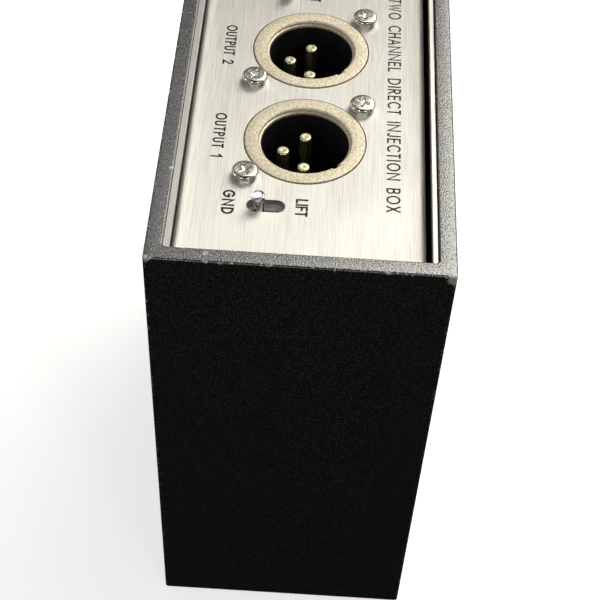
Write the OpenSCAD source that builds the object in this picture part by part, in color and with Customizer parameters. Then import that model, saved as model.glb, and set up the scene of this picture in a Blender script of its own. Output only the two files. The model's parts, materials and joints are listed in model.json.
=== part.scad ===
// Passive two-channel direct injection box.
// Millimetres, +Z up. The box stands on its input end, so the output panel
// faces up and the input panel faces down. -X is the side with the feet,
// +Y is the channel 2 end. The origin is the middle of the footprint,
// feet included, on the lower rim.

/* [Case] */
// Outside width of the sleeve, feet not included
case_w = 53.5; // [52:0.5:60]
// Outside length of the sleeve
case_l = 96; // [94:1:110]
// Height from rim to rim
case_h = 114; // [112:1:130]
// Wall thickness of the sleeve
wall = 3; // [2:0.1:3.2]
// Rounding of the sleeve's outer edges
edge_r = 0.9; // [0.3:0.1:1.2]
// Rounding of the sleeve's inner corners
corner_r = 1; // [0.5:0.1:2]

/* [Chassis] */
// Sheet thickness of the folded chassis
sheet = 0.9; // [0.8:0.1:1]
// How far the chassis legs stop below the upper rim
leg_drop = 0.9; // [0.5:0.1:3]
// Depth of the input panel below its rim
in_recess = 6; // [5:0.5:8]
// Outer radius of the chassis folds
chassis_bend = 1.4; // [1:0.1:2]

/* [Output panel] */
// Sheet thickness of the output panel
panel_t = 1.2; // [1:0.1:1.5]
// Depth of the output panel below its rim
out_recess = 3.8; // [3.8:0.1:5]
// Outer radius of the panel's folds
panel_bend = 1.5; // [1.2:0.1:2]
// Gap between the panel's free fold and the chassis leg
free_gap = 0.8; // [0.4:0.1:1.5]
// Depth of the fold that is screwed to the chassis leg
fixed_fold = 24; // [20:1:26]
// Depth of the free fold
free_fold = 8; // [5:1:12]

/* [Output sockets] */
// Offset of the socket centres from the middle of the sleeve
socket_x = -0.6; // [-1:0.1:0]
// Distance between the two sockets
socket_pitch = 26.1; // [26:0.1:28]
// Diameter of the ring that comes through the panel
ring_d = 22.6; // [22:0.1:23]
// Height of the ring above the panel
ring_proud = 0.2; // [0.1:0.1:1]
// Diameter of the guide bore that a plug's shell slides in
guide_d = 16.2; // [16:0.1:16.4]
// Diameter of the contact pins
contact_d = 2.4; // [2.3:0.1:2.5]
// Diameter of the circle that the contact pins stand on
contact_circle = 8.13; // [8:0.01:8.3]
// Depth of the pin tips below the panel
contact_drop = 2.7; // [2.6:0.1:3.5]

/* [Lever switches] */
// Offset of every switch from the middle of the sleeve
switch_x = -6.85; // [-7.5:0.05:-6]
// Distance between the two ground-lift switches
lift_pitch = 60.9; // [60.9:0.1:64]
// Distance between the two pad switches
pad_pitch = 47; // [46.6:0.1:47.4]
// Length of the slot that a lever comes through
slot_l = 7; // [6:0.1:8]
// Width of that slot
slot_w = 3.1; // [2.8:0.1:3.3]
// Lean of a lever at each end of its throw
lever_lean = 6; // [4:0.5:7]
// Height of a lever's tip above its panel
lever_proud = 2.8; // [2.5:0.1:3.7]
// Diameter of a lever's tip
lever_d = 2.45; // [2.2:0.05:2.6]
// Depth of a lever's pivot below its panel
pivot_drop = 11; // [10:0.5:11]

/* [Jacks] */
// Offset of every jack from the middle of the sleeve
jack_x = -5; // [-5.5:0.1:-4.5]
// Distance of the input jacks from the middle
input_y = 36; // [35.8:0.1:37]
// Distance of the through jacks from the middle
thru_y = 11; // [9:0.5:11.3]
// Bore of the jack bushing
jack_bore_d = 6.5; // [6.4:0.05:6.6]
// Thread diameter of the jack bushing
jack_thread_d = 9.4; // [9:0.1:9.6]

/* [Transformers] */
// Diameter of a transformer's screening can
can_d = 25; // [22:0.5:26]
// Height of a transformer's screening can
can_h = 30; // [24:1:32]
// Distance between the two transformers
can_pitch = 40; // [38:1:42]

/* [Circuit board] */
// Height of the standoffs between the chassis leg and the board
standoff_h = 6; // [5.5:0.1:6.2]
// Thickness of the board
board_t = 1.6; // [1.4:0.1:1.8]

/* [Feet] */
// Diameter of a rubber foot
foot_d = 10; // [9:0.5:12]
// Height of a rubber foot
foot_h = 2; // [2:0.1:3]
// Distance of the feet from the ends of the sleeve's length
foot_inset_y = 17; // [15:1:20]
// Distance of the feet from the two rims
foot_inset_z = 20; // [18:1:22]

/* [Hidden] */
$fn = 48;
clear = 0.05; // radial clearance of threads, pins and press-in pieces
cut = 1; // how far a cutting tool runs past a face

SWITCHES = ["ground_lift_1", "ground_lift_2", "pad_1", "pad_2"];
JACKS = ["input_1", "thru_1", "thru_2", "input_2"];
CHANNELS = ["1", "2"];

// Levels and faces
out_z = case_h - out_recess;
leg_out_x = case_w/2 - wall - 0.1;
leg_in_x = leg_out_x - sheet;
sheet_l = case_l - 2*wall - 1.4; // short enough to clear the sleeve's round corners
board_top_x = standoff_h + board_t - leg_in_x;
board_bottom_x = standoff_h - leg_in_x;
panel_right_x = leg_in_x - free_gap;

// Sockets
socket_y = [-socket_pitch/2, socket_pitch/2];
socket_screw = [10.5, 9.9];
flange_size = [26, 25.6, 2.1];
flange_bottom = -panel_t - flange_size[2];
guide_bottom = -2.6; // stays above the pin tips
deep_d = guide_d + 0.4;
shell_bottom = -25;
insert_top = -14.2;
insert_bottom = -26.5;
contact_tail = -29;
wire_d = 1.3;
wire_bend = 2.5;

// Switches, in a frame whose zero is the outer face of the panel
lift_y = [-lift_pitch/2, lift_pitch/2];
pad_y = [-pad_pitch/2, pad_pitch/2];
rest_side = [-1, 1, -1, -1]; // which way each lever leans at rest
frame_top = -1.9;
frame_t = 0.5;
body_size = [12.2, 6.6, 15.2];
body_top = frame_top - frame_t;
cavity_size = [9.6, 4.6, 13.8];
trunnion_d = 1.4;
tail_l = 3.4;
rocker_drop = 15.6;
rocker_tilt = 6;
terminal_x = [-3.6, 0, 3.6];
board_from_switch = board_top_x - switch_x;

// Jacks, in a frame whose zero is the outer face of the input panel
jack_y = [-input_y, -thru_y, thru_y, input_y];
bushing_proud = 3.4;
bushing_bottom = -5;
housing_size = [17, 15, 29];
spring_pivot = [5.4, -13];
spring_t = 0.4;
spring_w = 4;
board_from_jack = board_top_x - jack_x;

// Transformers and board
can_y = [-can_pitch/2, can_pitch/2];
can_z = 58;
can_wall = 0.8;
board_z = [12, 100];
board_l = 84;
standoff_yz = [for (y = [-38, 38], z = [42, 81]) [y, z]];
resistor_yz = [for (y = [-37, 37], z = [51, 57, 63, 69]) [y, z]];
capacitor_z = [46, 58, 70];

// Feet and the case screws in them
foot_y = case_l/2 - foot_inset_y;
foot_z = [foot_inset_z, case_h - foot_inset_z];
foot_floor = 0.5;

// ---------- places ----------

// Puts the middle of the footprint, feet included, on the origin
module in_row() translate([foot_h/2, 0, 0]) children();

// Zero on the outer face of the output panel, +Z outward
module at_output(x, y) in_row() translate([x, y, out_z]) children();

// Zero on the outer face of the input panel, +Z outward
module at_input(x, y) in_row() translate([x, y, in_recess]) mirror([0, 0, 1]) children();

// Zero on the outside of the foot wall, +Z outward
module at_foot_wall(y, z) in_row() translate([-case_w/2, y, z]) rotate([0, -90, 0]) children();

// Zero on the component side of the board, +Z away from the board
module at_board(y, z) in_row() translate([board_top_x, y, z]) rotate([0, 90, 0]) children();

module at_feet() for (y = [-foot_y, foot_y], z = foot_z) at_foot_wall(y, z) children();

module at_socket(c) at_output(socket_x, socket_y[c]) children();

module at_switch(i) {
    if (i < 2) at_output(switch_x, lift_y[i]) children();
    else at_input(switch_x, pad_y[i - 2]) children();
}

module at_jack(i) at_input(jack_x, jack_y[i]) children();

// ---------- shared shapes ----------

// Cylinder between two heights
module rod(r, bottom, top) translate([0, 0, bottom]) cylinder(r = r, h = top - bottom);

// Box centred in X and Y, between two heights
module block(x, y, bottom, top) translate([-x/2, -y/2, bottom]) cube([x, y, top - bottom]);

module rounded_rect(w, l, r) {
    square([w - 2*r, l], center = true);
    square([w, l - 2*r], center = true);
    for (x = [-1, 1], y = [-1, 1]) translate([x*(w/2 - r), y*(l/2 - r)]) circle(r);
}

module slot(l, w, bottom, top) {
    block(l - w, w, bottom, top);
    for (side = [-1, 1]) translate([side*(l - w)/2, 0, 0]) rod(w/2, bottom, top);
}

// Outline of a channel with its web on the X axis and both legs up
module channel_outline(x0, x1, tall, r) {
    translate([x0, r]) square([x1 - x0, tall - r]);
    translate([x0 + r, 0]) square([x1 - x0 - 2*r, r]);
    translate([x0 + r, r]) circle(r);
    translate([x1 - r, r]) circle(r);
}

// Section of sheet folded into a channel: left leg tall, right leg short
module folded_sheet(x0, x1, tall, short, t, r) difference() {
    channel_outline(x0, x1, tall, r);
    translate([0, t]) channel_outline(x0 + t, x1 - t, tall, r - t);
    translate([(x0 + x1)/2, short]) square([x1 - x0, tall]);
}

// Extrudes an X-Z section along the length of the box
module along_length(l) rotate([90, 0, 0]) linear_extrude(l, center = true) children();

// Pan head with a cross recess, seat at zero
module pan_head(d, h) difference() {
    intersection() {
        cylinder(d = d, h = h);
        translate([0, 0, h - d*0.85]) sphere(d*0.85);
    }
    for (turn = [0, 90]) rotate(turn) block(d*0.5, d*0.12, h*0.45, h + cut);
}

// ---------- case ----------

module case_sleeve() color([0.06, 0.06, 0.07]) in_row() difference() {
    intersection() {
        linear_extrude(case_h) rounded_rect(case_w, case_l, edge_r);
        along_length(case_l + 2*cut) translate([0, case_h/2]) rounded_rect(case_w, case_h, edge_r);
        rotate([90, 0, 90]) linear_extrude(case_w + 2*cut, center = true)
            translate([0, case_h/2]) rounded_rect(case_l, case_h, edge_r);
    }
    translate([0, 0, -cut]) linear_extrude(case_h + 2*cut)
        rounded_rect(case_w - 2*wall, case_l - 2*wall, corner_r);
    for (y = [-foot_y, foot_y], z = foot_z)
        translate([-case_w/2, y, z]) rotate([0, -90, 0]) rod(1.7, -wall - cut, cut);
}

module chassis() color([0.78, 0.78, 0.76]) difference() {
    in_row() translate([0, 0, in_recess]) along_length(sheet_l)
        folded_sheet(-leg_out_x, leg_out_x, case_h - leg_drop - in_recess,
                     case_h - leg_drop - in_recess, sheet, chassis_bend);
    for (i = [0:3]) at_jack(i) rod(jack_thread_d/2 + clear, -sheet - cut, cut);
    for (i = [2, 3]) at_switch(i) slot(slot_l, slot_w, -sheet - cut, cut);
    at_feet() rod(1.7, -wall - sheet - cut, -wall + cut);
    for (p = standoff_yz) at_board(p[0], p[1]) rod(2.1 + clear, -board_t - standoff_h - sheet - cut, 0);
}

module output_panel() color([0.84, 0.84, 0.80]) difference() {
    in_row() translate([0, 0, out_z]) mirror([0, 0, 1]) along_length(sheet_l)
        folded_sheet(-leg_in_x, panel_right_x, fixed_fold, free_fold, panel_t, panel_bend);
    for (c = [0, 1]) at_socket(c) {
        rod(ring_d/2 + 0.25, -panel_t - cut, cut);
        for (side = [-1, 1]) translate(side*socket_screw) rod(1.6, -panel_t - cut, cut);
    }
    for (i = [0, 1]) at_switch(i) slot(slot_l, slot_w, -panel_t - cut, cut);
    at_feet() rod(1.7, -wall - sheet - panel_t - cut, -wall + cut);
}

module rubber_feet() color([0.09, 0.09, 0.09]) at_feet() difference() {
    union() {
        rod(foot_d/2, 0, foot_h - 0.4);
        translate([0, 0, foot_h - 0.4]) cylinder(r1 = foot_d/2, r2 = foot_d/2 - 0.4, h = 0.4);
    }
    rod(3.05, foot_floor, foot_h + cut);
    rod(1.7, -cut, foot_h);
}

module foot_screws() color([0.15, 0.15, 0.16]) at_feet() {
    translate([0, 0, foot_floor]) pan_head(5.5, 1.3);
    rod(1.45, -wall - sheet - panel_t - 2.4, foot_floor);
}

module case_nuts() color([0.75, 0.74, 0.70]) for (y = [-foot_y, foot_y], k = [0, 1])
    at_foot_wall(y, foot_z[k]) difference() {
        rod(3, -wall - 0.1 - sheet - k*panel_t - 2, -wall - 0.1 - sheet - k*panel_t);
        rod(1.5, -wall - 10, 0);
    }

// ---------- output sockets ----------

module socket_shell(c) color([0.86, 0.83, 0.72]) at_socket(c) difference() {
    union() {
        translate([0, 0, flange_bottom]) linear_extrude(flange_size[2])
            rounded_rect(flange_size[0], flange_size[1], 3);
        rod(ring_d/2, flange_bottom, ring_proud);
        rod(10.2, shell_bottom, flange_bottom + cut);
    }
    translate([0, 0, ring_proud - 0.5]) cylinder(r1 = guide_d/2, r2 = guide_d/2 + 0.6, h = 0.55);
    rod(guide_d/2, guide_bottom, ring_proud);
    rod(deep_d/2, shell_bottom - cut, guide_bottom);
    rotate(-45) translate([guide_d/2 - 1, -0.8, insert_top]) cube([1.7, 1.6, ring_proud + cut - insert_top]);
    for (side = [-1, 1]) translate(side*socket_screw) rod(1.5, flange_bottom - cut, 0);
}

module at_contacts() for (a = [-90, 90, 180]) rotate(a) translate([contact_circle/2, 0, 0]) children();

module socket_insert(c) color([0.05, 0.05, 0.06]) at_socket(c) difference() {
    union() {
        rod(deep_d/2 - clear, insert_bottom, insert_top);
        rod(10.2, insert_bottom, shell_bottom);
    }
    at_contacts() rod(contact_d/2, insert_bottom - cut, insert_top + cut);
}

module socket_contacts(c) color([0.88, 0.82, 0.60]) at_socket(c) at_contacts() {
    rod(contact_d/2, insert_bottom, -contact_drop - contact_d/2);
    translate([0, 0, -contact_drop - contact_d/2]) sphere(contact_d/2);
    rod(0.9, contact_tail, insert_bottom);
}

// Each wire drops from a contact's tail and turns through a quarter bend to the board
module output_wires() color([0.75, 0.15, 0.12]) for (c = [0, 1], k = [-1, 0, 1]) {
    from_x = socket_x - (k == 0 ? contact_circle/2 : 0);
    drop = (k == 0 ? 1 : 2 + k*0.5);
    bend_z = out_z + contact_tail - drop;
    in_row() translate([from_x, socket_y[c] + k*contact_circle/2, bend_z]) {
        rod(wire_d/2, 0, drop);
        translate([-wire_bend, 0, 0]) rotate([-90, 0, 0])
            rotate_extrude(angle = 90) translate([wire_bend, 0]) circle(wire_d/2, $fn = 24);
        translate([-wire_bend, 0, -wire_bend]) rotate([0, -90, 0])
            rod(wire_d/2, 0, from_x - wire_bend - board_top_x);
    }
}

module output_screws() color([0.82, 0.81, 0.78]) for (c = [0, 1], side = [-1, 1])
    at_socket(c) translate(side*socket_screw) {
        pan_head(5.1, 1.6);
        rod(1.45, flange_bottom - 2, 0);
    }

// ---------- lever switches ----------

module switch_body(i) color([0.30, 0.07, 0.06]) difference() {
    at_switch(i) difference() {
        block(body_size[0], body_size[1], body_top - body_size[2], body_top);
        block(cavity_size[0], cavity_size[1], body_top - cavity_size[2], body_top + cut);
        translate([0, 0, -pivot_drop]) rotate([90, 0, 0]) rod(trunnion_d/2 + clear, -5, 5);
    }
    terminals(i);
}

module switch_frame(i) color([0.60, 0.58, 0.54]) at_switch(i) difference() {
    union() {
        block(12.6, body_size[1] + 2*frame_t, frame_top - frame_t, frame_top);
        for (side = [-1, 1]) translate([0, side*(body_size[1] + frame_t)/2, 0]) {
            block(10, frame_t, -10, frame_top);
            translate([board_from_switch, -frame_t/2, -9])
                cube([-board_from_switch - 4, frame_t, 4]);
        }
    }
    slot(5.6, 1.7, frame_top - frame_t - cut, frame_top + cut);
}

// Lever in its upright place: tip, tapered shank, ball with its pivot pin, tail
module upright_lever() {
    tip = lever_proud;
    rotate_extrude() polygon([
        [0, tip], [lever_d/2 - 0.15, tip], [lever_d/2, tip - 0.15], [lever_d/2, tip - 0.7],
        [0.65, frame_top + 0.4], [0.65, body_top - 0.4], [1, body_top - 1.2],
        [1, -pivot_drop - tail_l/2], [0.5, -pivot_drop - tail_l], [0, -pivot_drop - tail_l]]);
    translate([0, 0, -pivot_drop]) {
        sphere(1.6);
        rotate([90, 0, 0]) rod(trunnion_d/2, -3.1, 3.1);
    }
}

module switch_lever(i) color([0.90, 0.90, 0.90]) at_switch(i)
    translate([0, 0, -pivot_drop]) rotate([0, rest_side[i]*lever_lean, 0])
    translate([0, 0, pivot_drop]) upright_lever();

// Contact see-saw that the lever's tail tips over its middle
module switch_rocker(i) color([0.80, 0.72, 0.45]) at_switch(i)
    translate([0, 0, -rocker_drop]) rotate([0, -rest_side[i]*rocker_tilt, 0]) {
        block(7.8, 3, 0.5, 0.8);
        rotate([90, 0, 0]) rod(0.5, -1.5, 1.5);
        block(0.6, 3, 0, 0.6);
    }

// Three pins a switch: through its floor, then sideways into the board
module terminals(i) at_switch(i) for (k = [0:2]) {
    head_top = (k == 1) ? -rocker_drop - 0.6 : -rocker_drop - 0.7;
    turn_z = body_top - body_size[2] - 1.5 - 1.2*k;
    translate([terminal_x[k], 0, 0]) block(0.8, 0.8, turn_z, head_top);
    translate([board_from_switch - board_t - 0.6, -0.4, turn_z])
        cube([terminal_x[k] - board_from_switch + board_t + 0.6, 0.8, 0.8]);
}

module switch_terminals() color([0.80, 0.78, 0.70]) for (i = [0:3]) terminals(i);

// ---------- jacks ----------

module jack_housing(i) color([0.08, 0.08, 0.09]) at_jack(i) difference() {
    block(housing_size[0], housing_size[1], -sheet - housing_size[2], -sheet);
    rod(6.1, -sheet - 1.1, 0);
    rod(4.4, bushing_bottom - 0.1, 0);
    translate([-3.5, -4.5, -sheet - housing_size[2] + 1.2])
        cube([11, 9, housing_size[2] - 1.2 + sheet + bushing_bottom - 0.1]);
}

module jack_bushing(i) color([0.80, 0.79, 0.76]) at_jack(i) difference() {
    union() {
        rod(jack_thread_d/2, -sheet - cut, bushing_proud);
        rod(6, -sheet - 1, -sheet);
        rod(4.3, bushing_bottom, -sheet);
    }
    rod(jack_bore_d/2, bushing_bottom - cut, bushing_proud + cut);
}

// Leaf contact: rolled root, blade, and the bump that meets a plug's tip
module jack_tip_spring(i) color([0.85, 0.80, 0.55]) at_jack(i)
    translate([spring_pivot[0], 0, spring_pivot[1]]) {
        rotate([90, 0, 0]) rod(0.6, -spring_w/2, spring_w/2);
        translate([-spring_t, -spring_w/2, -12]) cube([spring_t, spring_w, 12]);
        translate([-spring_t - 0.4, 0, -11.4]) rotate([90, 0, 0]) rod(1, -spring_w/2, spring_w/2);
    }

module jack_nuts() color([0.85, 0.85, 0.84]) for (i = [0:3]) at_jack(i) difference() {
    translate([0, 0, 0.6]) cylinder(d = 14.4, h = 2, $fn = 6);
    rod(jack_thread_d/2 + clear, 0, 4);
}

module jack_washers() color([0.80, 0.80, 0.78]) for (i = [0:3]) at_jack(i) difference() {
    rod(7, 0, 0.6);
    rod(jack_thread_d/2 + clear, -cut, 2);
}

module jack_terminals() color([0.80, 0.78, 0.70]) for (i = [0:3], z = [-8, -16, -24], y = [-5.5, 5.5])
    at_jack(i) translate([board_from_jack - board_t - 0.6, y - 0.4, z])
        cube([-board_from_jack - housing_size[0]/2 + board_t + 0.6, 0.8, 0.8]);

// ---------- transformers ----------

module transformer_can(c) color([0.70, 0.70, 0.72]) at_board(can_y[c], can_z) difference() {
    rod(can_d/2, 0, can_h);
    rod(can_d/2 - can_wall, -cut, can_h - can_wall);
}

module transformer_core(c) color([0.35, 0.35, 0.37]) at_board(can_y[c], can_z) difference() {
    block(14, 18, 5, 25);
    for (side = [-1, 1]) translate([0, side*5, 0]) block(15, 4, 8, 22);
}

module transformer_winding(c) color([0.72, 0.38, 0.18]) at_board(can_y[c], can_z) difference() {
    block(17, 13.6, 8.2, 21.8);
    block(14, 6, 8, 22);
}

module transformer_pins() color([0.80, 0.78, 0.70]) for (c = [0, 1], a = [0:60:300])
    at_board(can_y[c], can_z) rotate(a) translate([9, 0, 0]) rod(0.5, -board_t - 0.8, 4);

// ---------- circuit board ----------

module circuit_board() color([0.10, 0.32, 0.16]) difference() {
    in_row() translate([board_bottom_x, -board_l/2, board_z[0]])
        cube([board_t, board_l, board_z[1] - board_z[0]]);
    for (p = standoff_yz) at_board(p[0], p[1]) rod(1.6, -board_t - cut, cut);
    switch_terminals();
    jack_terminals();
    transformer_pins();
}

module board_standoffs() color([0.76, 0.75, 0.72]) for (p = standoff_yz) at_board(p[0], p[1])
    difference() {
        union() {
            rod(3, -board_t - standoff_h, -board_t);
            rod(2.1, -board_t - standoff_h - sheet, -board_t - standoff_h);
        }
        rod(1.5, -board_t - standoff_h - sheet - cut, 0);
    }

module board_screws() color([0.78, 0.77, 0.74]) for (p = standoff_yz) at_board(p[0], p[1]) {
    pan_head(5.5, 2);
    rod(1.45, -board_t - 4.5, 0);
}

module resistors() color([0.35, 0.55, 0.70]) for (p = resistor_yz) at_board(p[0], p[1])
    translate([0, 0, 1.3]) rotate([90, 0, 0]) {
        rod(1.1, -2.4, 2.4);
        rod(0.3, -4, 4);
    }

module capacitors() color([0.75, 0.62, 0.20]) for (z = capacitor_z) at_board(0, z)
    block(4, 7.5, 0, 9);

for (i = [0:1]) {
    socket_shell(i);
    socket_insert(i);
    socket_contacts(i);
    transformer_can(i);
    transformer_winding(i);
    transformer_core(i);
}
for (i = [0:3]) {
    switch_body(i);
    switch_frame(i);
    switch_lever(i);
    switch_rocker(i);
    jack_housing(i);
    jack_bushing(i);
    jack_tip_spring(i);
}
case_sleeve();
chassis();
output_panel();
circuit_board();
board_standoffs();
board_screws();
resistors();
capacitors();
output_wires();
output_screws();
switch_terminals();
jack_nuts();
jack_washers();
jack_terminals();
transformer_pins();
rubber_feet();
foot_screws();
case_nuts();
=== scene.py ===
"""Looks of a two-channel direct injection box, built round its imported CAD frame.

Metres, +Z up, out of the output panel. -X is the foot side, +Y the channel 2 end.
"""

import json
import math

import bpy
from mathutils import Matrix, Vector


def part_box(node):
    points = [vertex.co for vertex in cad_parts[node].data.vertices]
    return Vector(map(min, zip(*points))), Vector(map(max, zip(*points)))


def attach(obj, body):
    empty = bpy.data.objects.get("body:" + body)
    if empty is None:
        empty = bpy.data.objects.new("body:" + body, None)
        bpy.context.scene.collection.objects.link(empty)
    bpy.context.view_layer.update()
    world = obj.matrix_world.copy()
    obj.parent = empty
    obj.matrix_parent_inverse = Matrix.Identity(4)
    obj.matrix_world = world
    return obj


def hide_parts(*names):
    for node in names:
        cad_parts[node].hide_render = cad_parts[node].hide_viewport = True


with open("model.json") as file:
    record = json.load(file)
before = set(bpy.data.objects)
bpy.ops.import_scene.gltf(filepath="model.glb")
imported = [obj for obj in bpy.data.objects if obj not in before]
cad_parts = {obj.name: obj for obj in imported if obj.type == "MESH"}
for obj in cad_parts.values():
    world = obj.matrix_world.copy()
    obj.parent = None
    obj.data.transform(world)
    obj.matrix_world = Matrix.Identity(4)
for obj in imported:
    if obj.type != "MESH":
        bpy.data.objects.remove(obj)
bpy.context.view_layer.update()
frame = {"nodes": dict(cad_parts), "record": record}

MM = 0.001
ENCLOSURE = "enclosure"
NODES = frame["nodes"]
RECORD = frame["record"]
SLOT_OF_NODE = {s["node"]: s["material_slot"] for s in RECORD["subparts"]}

# ---------- places, worked out from the frame ----------

case_low, case_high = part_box("case_sleeve")
case_mid = (case_low + case_high) / 2
out_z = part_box("output_panel")[1].z  # outer face of the output panel
in_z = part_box("chassis")[0].z  # outer face of the input panel
panel_mid_x = case_mid.x


def mount(name):
    """Position of one of the record's mounts."""
    return Vector(next(m["pos_m"] for m in RECORD["mounts"] if m["name"] == name))


def joint(name):
    """Position of one of the record's joints."""
    return Vector(next(j["pos_m"] for j in RECORD["behaviour"]["joints"] if j["name"] == name))


# ---------- mesh helpers ----------

def add_piece(name, verts, faces, slot, body=ENCLOSURE, replaces=(), smooth_deg=30):
    """Makes a mesh object from points in the row frame, in metres, and puts it on its body."""
    mesh = bpy.data.meshes.new(name)
    mesh.from_pydata([tuple(v) for v in verts], [], faces)
    mesh.update()
    for polygon in mesh.polygons:
        polygon.use_smooth = True
    mesh.set_sharp_from_angle(angle=math.radians(smooth_deg))
    piece = bpy.data.objects.new(name, mesh)
    bpy.context.scene.collection.objects.link(piece)
    mesh.materials.append(MATERIALS[slot])
    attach(piece, body)
    if replaces:
        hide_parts(*replaces)


def rounded(points, steps=5):
    """Profile points (r, z) or (r, z, fillet); a fillet turns its corner into an arc. Closed."""
    out = []
    count = len(points)
    for i, point in enumerate(points):
        corner = Vector(point[:2])
        if len(point) < 3:
            out.append(tuple(corner))
            continue
        before = (Vector(points[i - 1][:2]) - corner).normalized()
        after = (Vector(points[(i + 1) % count][:2]) - corner).normalized()
        half = before.angle(after) / 2
        reach = point[2] / math.tan(half)
        centre = corner + (before + after).normalized() * (point[2] / math.sin(half))
        start = corner + before * reach - centre
        end = corner + after * reach - centre
        for k in range(steps + 1):
            blend = start.lerp(end, k / steps)
            out.append(tuple(centre + blend.normalized() * point[2]))
    return out


def lathe(profile, place, segments=128, reach=None):
    """Turns a closed profile of (r, z) in millimetres about Z. Points at r = 0 become poles.

    reach(r, degrees) may move a point outwards, as in a keyway.
    """
    verts, faces, rings = [], [], []
    for r, z in profile:
        if r < 1e-6:
            rings.append([len(verts)])
            verts.append(place @ Vector((0, 0, z * MM)))
            continue
        rings.append(list(range(len(verts), len(verts) + segments)))
        for k in range(segments):
            a = 2 * math.pi * k / segments
            out = reach(r, math.degrees(a)) if reach else r
            verts.append(place @ Vector((out * math.cos(a) * MM, out * math.sin(a) * MM, z * MM)))
    for a, b in zip(rings, rings[1:] + rings[:1]):
        if len(a) == 1 and len(b) == 1:
            continue
        for k in range(segments):
            n = (k + 1) % segments
            if len(a) == 1:
                faces.append((a[0], b[n], b[k]))
            elif len(b) == 1:
                faces.append((a[k], a[n], b[0]))
            else:
                faces.append((a[k], a[n], b[n], b[k]))
    return verts, faces


def bands(rings):
    """Quads between each ring of points and the next, and back from the last to the first."""
    faces = []
    for a, b in zip(rings, rings[1:] + rings[:1]):
        for k in range(len(a)):
            n = (k + 1) % len(a)
            faces.append((a[k], a[n], b[n], b[k]))
    return faces


def join_shapes(shapes):
    verts, faces = [], []
    for shape_verts, shape_faces in shapes:
        offset = len(verts)
        verts += shape_verts
        faces += [tuple(i + offset for i in face) for face in shape_faces]
    return verts, faces


def outward(x, y, z, axis="+Z"):
    """Placement matrix at a point, with local +Z turned to the named axis."""
    turns = {
        "+Z": Matrix.Identity(4),
        "-Z": Matrix.Rotation(math.pi, 4, "Y"),
        "-X": Matrix.Rotation(-math.pi / 2, 4, "Y"),
    }
    return Matrix.Translation((x, y, z)) @ turns[axis]


# ---------- materials ----------

class Shader:
    """A Principled material and short calls that add nodes to it. Textures use the row frame."""

    def __init__(self, name, color, metallic=0.0, roughness=0.5, **sockets):
        self.material = bpy.data.materials.new(name)
        self.material.use_nodes = True
        self.tree = self.material.node_tree
        self.bsdf = next(n for n in self.tree.nodes if n.type == "BSDF_PRINCIPLED")
        self.bsdf.inputs["Base Color"].default_value = (*color, 1)
        self.bsdf.inputs["Metallic"].default_value = metallic
        self.bsdf.inputs["Roughness"].default_value = roughness
        for socket, value in sockets.items():
            self.bsdf.inputs[socket.replace("_", " ")].default_value = value
        self.coords = self.add("ShaderNodeTexCoord").outputs["Object"]

    def add(self, kind, inputs=None, **settings):
        node = self.tree.nodes.new(kind)
        for key, value in settings.items():
            setattr(node, key, value)
        for socket, value in (inputs or {}).items():
            self.put(node.inputs[socket], value)
        return node

    def put(self, socket, value):
        if isinstance(value, bpy.types.NodeSocket):
            self.tree.links.new(value, socket)
        else:
            socket.default_value = value

    def noise(self, size_mm, detail=2.0, stretch=(1, 1, 1), distortion=0.0):
        """Noise whose features are about size_mm across, longer along an axis whose stretch is over 1."""
        scale = [1 / s for s in stretch]
        vector = self.add("ShaderNodeMapping", {"Vector": self.coords, "Scale": scale}).outputs["Vector"]
        inputs = {"Vector": vector, "Scale": 1 / (size_mm * MM), "Detail": detail, "Distortion": distortion}
        return self.add("ShaderNodeTexNoise", inputs).outputs["Fac"]

    def math(self, operation, a, b=0.0):
        node = self.add("ShaderNodeMath", operation=operation)
        self.put(node.inputs[0], a)
        self.put(node.inputs[1], b)
        return node.outputs[0]

    def remap(self, value, low, high, to_low=0.0, to_high=1.0):
        inputs = {"Value": value, "From Min": low, "From Max": high, "To Min": to_low, "To Max": to_high}
        return self.add("ShaderNodeMapRange", inputs).outputs["Result"]

    def mix(self, factor, a, b):
        node = self.add("ShaderNodeMix", data_type="RGBA")
        self.put(node.inputs[0], factor)
        self.put(node.inputs[6], (*a, 1) if isinstance(a, tuple) else a)
        self.put(node.inputs[7], (*b, 1) if isinstance(b, tuple) else b)
        return node.outputs[2]

    def axis(self, letter):
        return self.add("ShaderNodeSeparateXYZ", {"Vector": self.coords}).outputs[letter]

    def bump(self, height, distance_mm, strength=1.0, under=None):
        inputs = {"Height": height, "Distance": distance_mm * MM, "Strength": strength}
        if under is not None:
            inputs["Normal"] = under
        return self.add("ShaderNodeBump", inputs).outputs["Normal"]

    def set(self, socket, value):
        self.put(self.bsdf.inputs[socket], value)


EDGE_WEAR_STARTS, EDGE_WEAR_FULL = 0.6, 0.27  # mm from the edge


def edge_closeness(shader):
    """0 inside a face of the sleeve, rising to 1 on its outer edges and on both outer rims.

    On an edge, the distances to the two outer planes that meet there are both small.
    """
    gaps = []
    for letter, middle, half in zip("XYZ", case_mid, (case_high - case_low) / 2):
        off_middle = shader.math("ABSOLUTE", shader.math("SUBTRACT", shader.axis(letter), middle))
        gaps.append(shader.math("SUBTRACT", half, off_middle))
    pairs = [shader.math("ADD", gaps[a], gaps[b]) for a, b in ((0, 1), (1, 2), (0, 2))]
    nearest = shader.math("MINIMUM", shader.math("MINIMUM", pairs[0], pairs[1]), pairs[2])
    return shader.remap(nearest, EDGE_WEAR_STARTS * MM, EDGE_WEAR_FULL * MM)


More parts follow.
